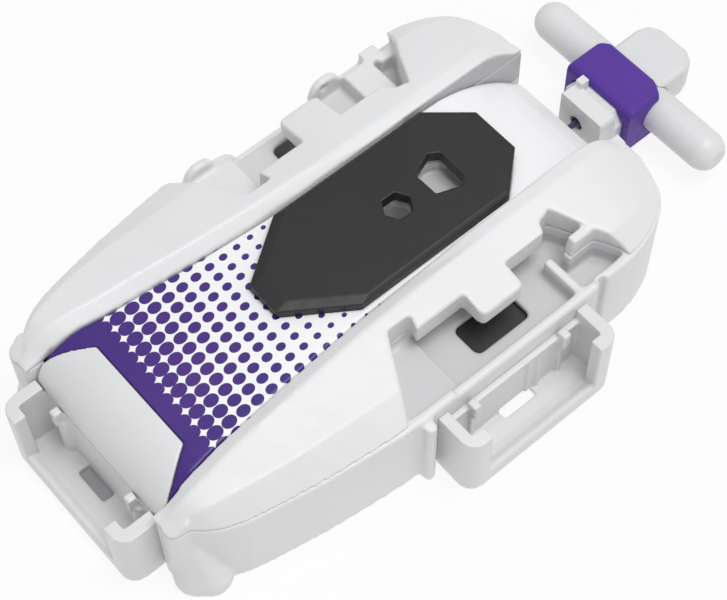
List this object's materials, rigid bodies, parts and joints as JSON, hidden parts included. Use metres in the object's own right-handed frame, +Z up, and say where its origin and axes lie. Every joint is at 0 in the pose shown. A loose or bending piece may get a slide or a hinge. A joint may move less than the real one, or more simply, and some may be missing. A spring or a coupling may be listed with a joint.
{
  "type": "string-pull spinning top launcher",
  "caption": "Handheld launcher for spinning tops: two-part housing with a raised panel and clip-on trays, a string with a T-handle, and a geared launch hub underneath.",
  "frame": {"origin": "on the axis of the launch hub, on the plane that the base rests on", "axes": "+Z up out of the printed deck, +Y from the nose to the pull handle, +X to the right-hand tray seen from above with the handle at the top"},
  "size_m": [0.0825, 0.1597, 0.0281],
  "materials": {
    "white_shell": "fine satin moulding",
    "white_tray": "satin moulding",
    "printed_deck": "printed, satin lacquer",
    "dark_panel": "fine grained",
    "purple_cap": "satin moulding",
    "dark_inner": "plain",
    "gear_plastic": "plain",
    "bronze_bush": "sintered",
    "steel": "zinc plated",
    "string_cord": "braided cord"
  },
  "bodies": {
    "housing": {"upper_shell": "white_shell", "lower_shell": "white_shell", "centre_deck": "printed_deck", "top_panel": "dark_panel", "nose_cover": "white_shell", "front_tray": "white_tray", "right_tray": "white_tray", "hub_bush": "bronze_bush", "idler_shaft": "steel", "spool_shaft": "steel", "gear_plate": "dark_inner", "plate_screws": "steel", "spring_case": "dark_inner", "recoil_spring": "steel", "spring_cover": "dark_inner", "string_guide": "steel", "case_screws": "steel", "pull_string": "string_cord"},
    "spool": {"drive_gear": "gear_plastic", "string_spool": "gear_plastic", "string_winding": "string_cord"},
    "idler": {"idler_gear": "gear_plastic"},
    "hub": {"launch_hub": "dark_inner", "hub_gear": "gear_plastic", "ejector_spring": "steel"},
    "ejector": {"ejector_pin": "steel"},
    "handle": {"handle_bar": "white_tray", "handle_cap": "purple_cap", "handle_plug": "white_shell", "handle_pad": "white_tray", "string_knot": "string_cord", "handle_screw": "steel"}
  },
  "joints": [
    {"name": "handle_pull", "type": "slide", "parent": "housing", "child": "handle", "axis": [0, 1, 0], "range_m": [0, 0.45], "stiffness_N_per_m": 8, "springref_m": -0.3, "deforming": ["pull_string"]},
    {"name": "spool_spin", "type": "hinge", "parent": "housing", "child": "spool", "pos_m": [0.008, 0.038, 0.008], "axis": [0, 0, 1], "range_deg": [-3230, 5]},
    {"name": "idler_spin", "type": "hinge", "parent": "housing", "child": "idler", "pos_m": [0.00725, 0.01091, 0.011], "axis": [0, 0, 1], "range_deg": [-5, 9215]},
    {"name": "hub_spin", "type": "hinge", "parent": "housing", "child": "hub", "pos_m": [0, 0, 0.008], "axis": [0, 0, 1], "range_deg": [-10750, 5]},
    {"name": "ejector_press", "type": "slide", "parent": "hub", "child": "ejector", "axis": [0, 0, 1], "range_m": [0, 0.0025], "stiffness_N_per_m": 400, "springref_m": -0.001, "deforming": ["ejector_spring"]}
  ],
  "couplings": [
    {"joint": "spool_spin", "follows": "handle_pull", "rad_per_m": -125},
    {"joint": "idler_spin", "follows": "handle_pull", "rad_per_m": 357.14},
    {"joint": "hub_spin", "follows": "handle_pull", "rad_per_m": -416.67}
  ]
}
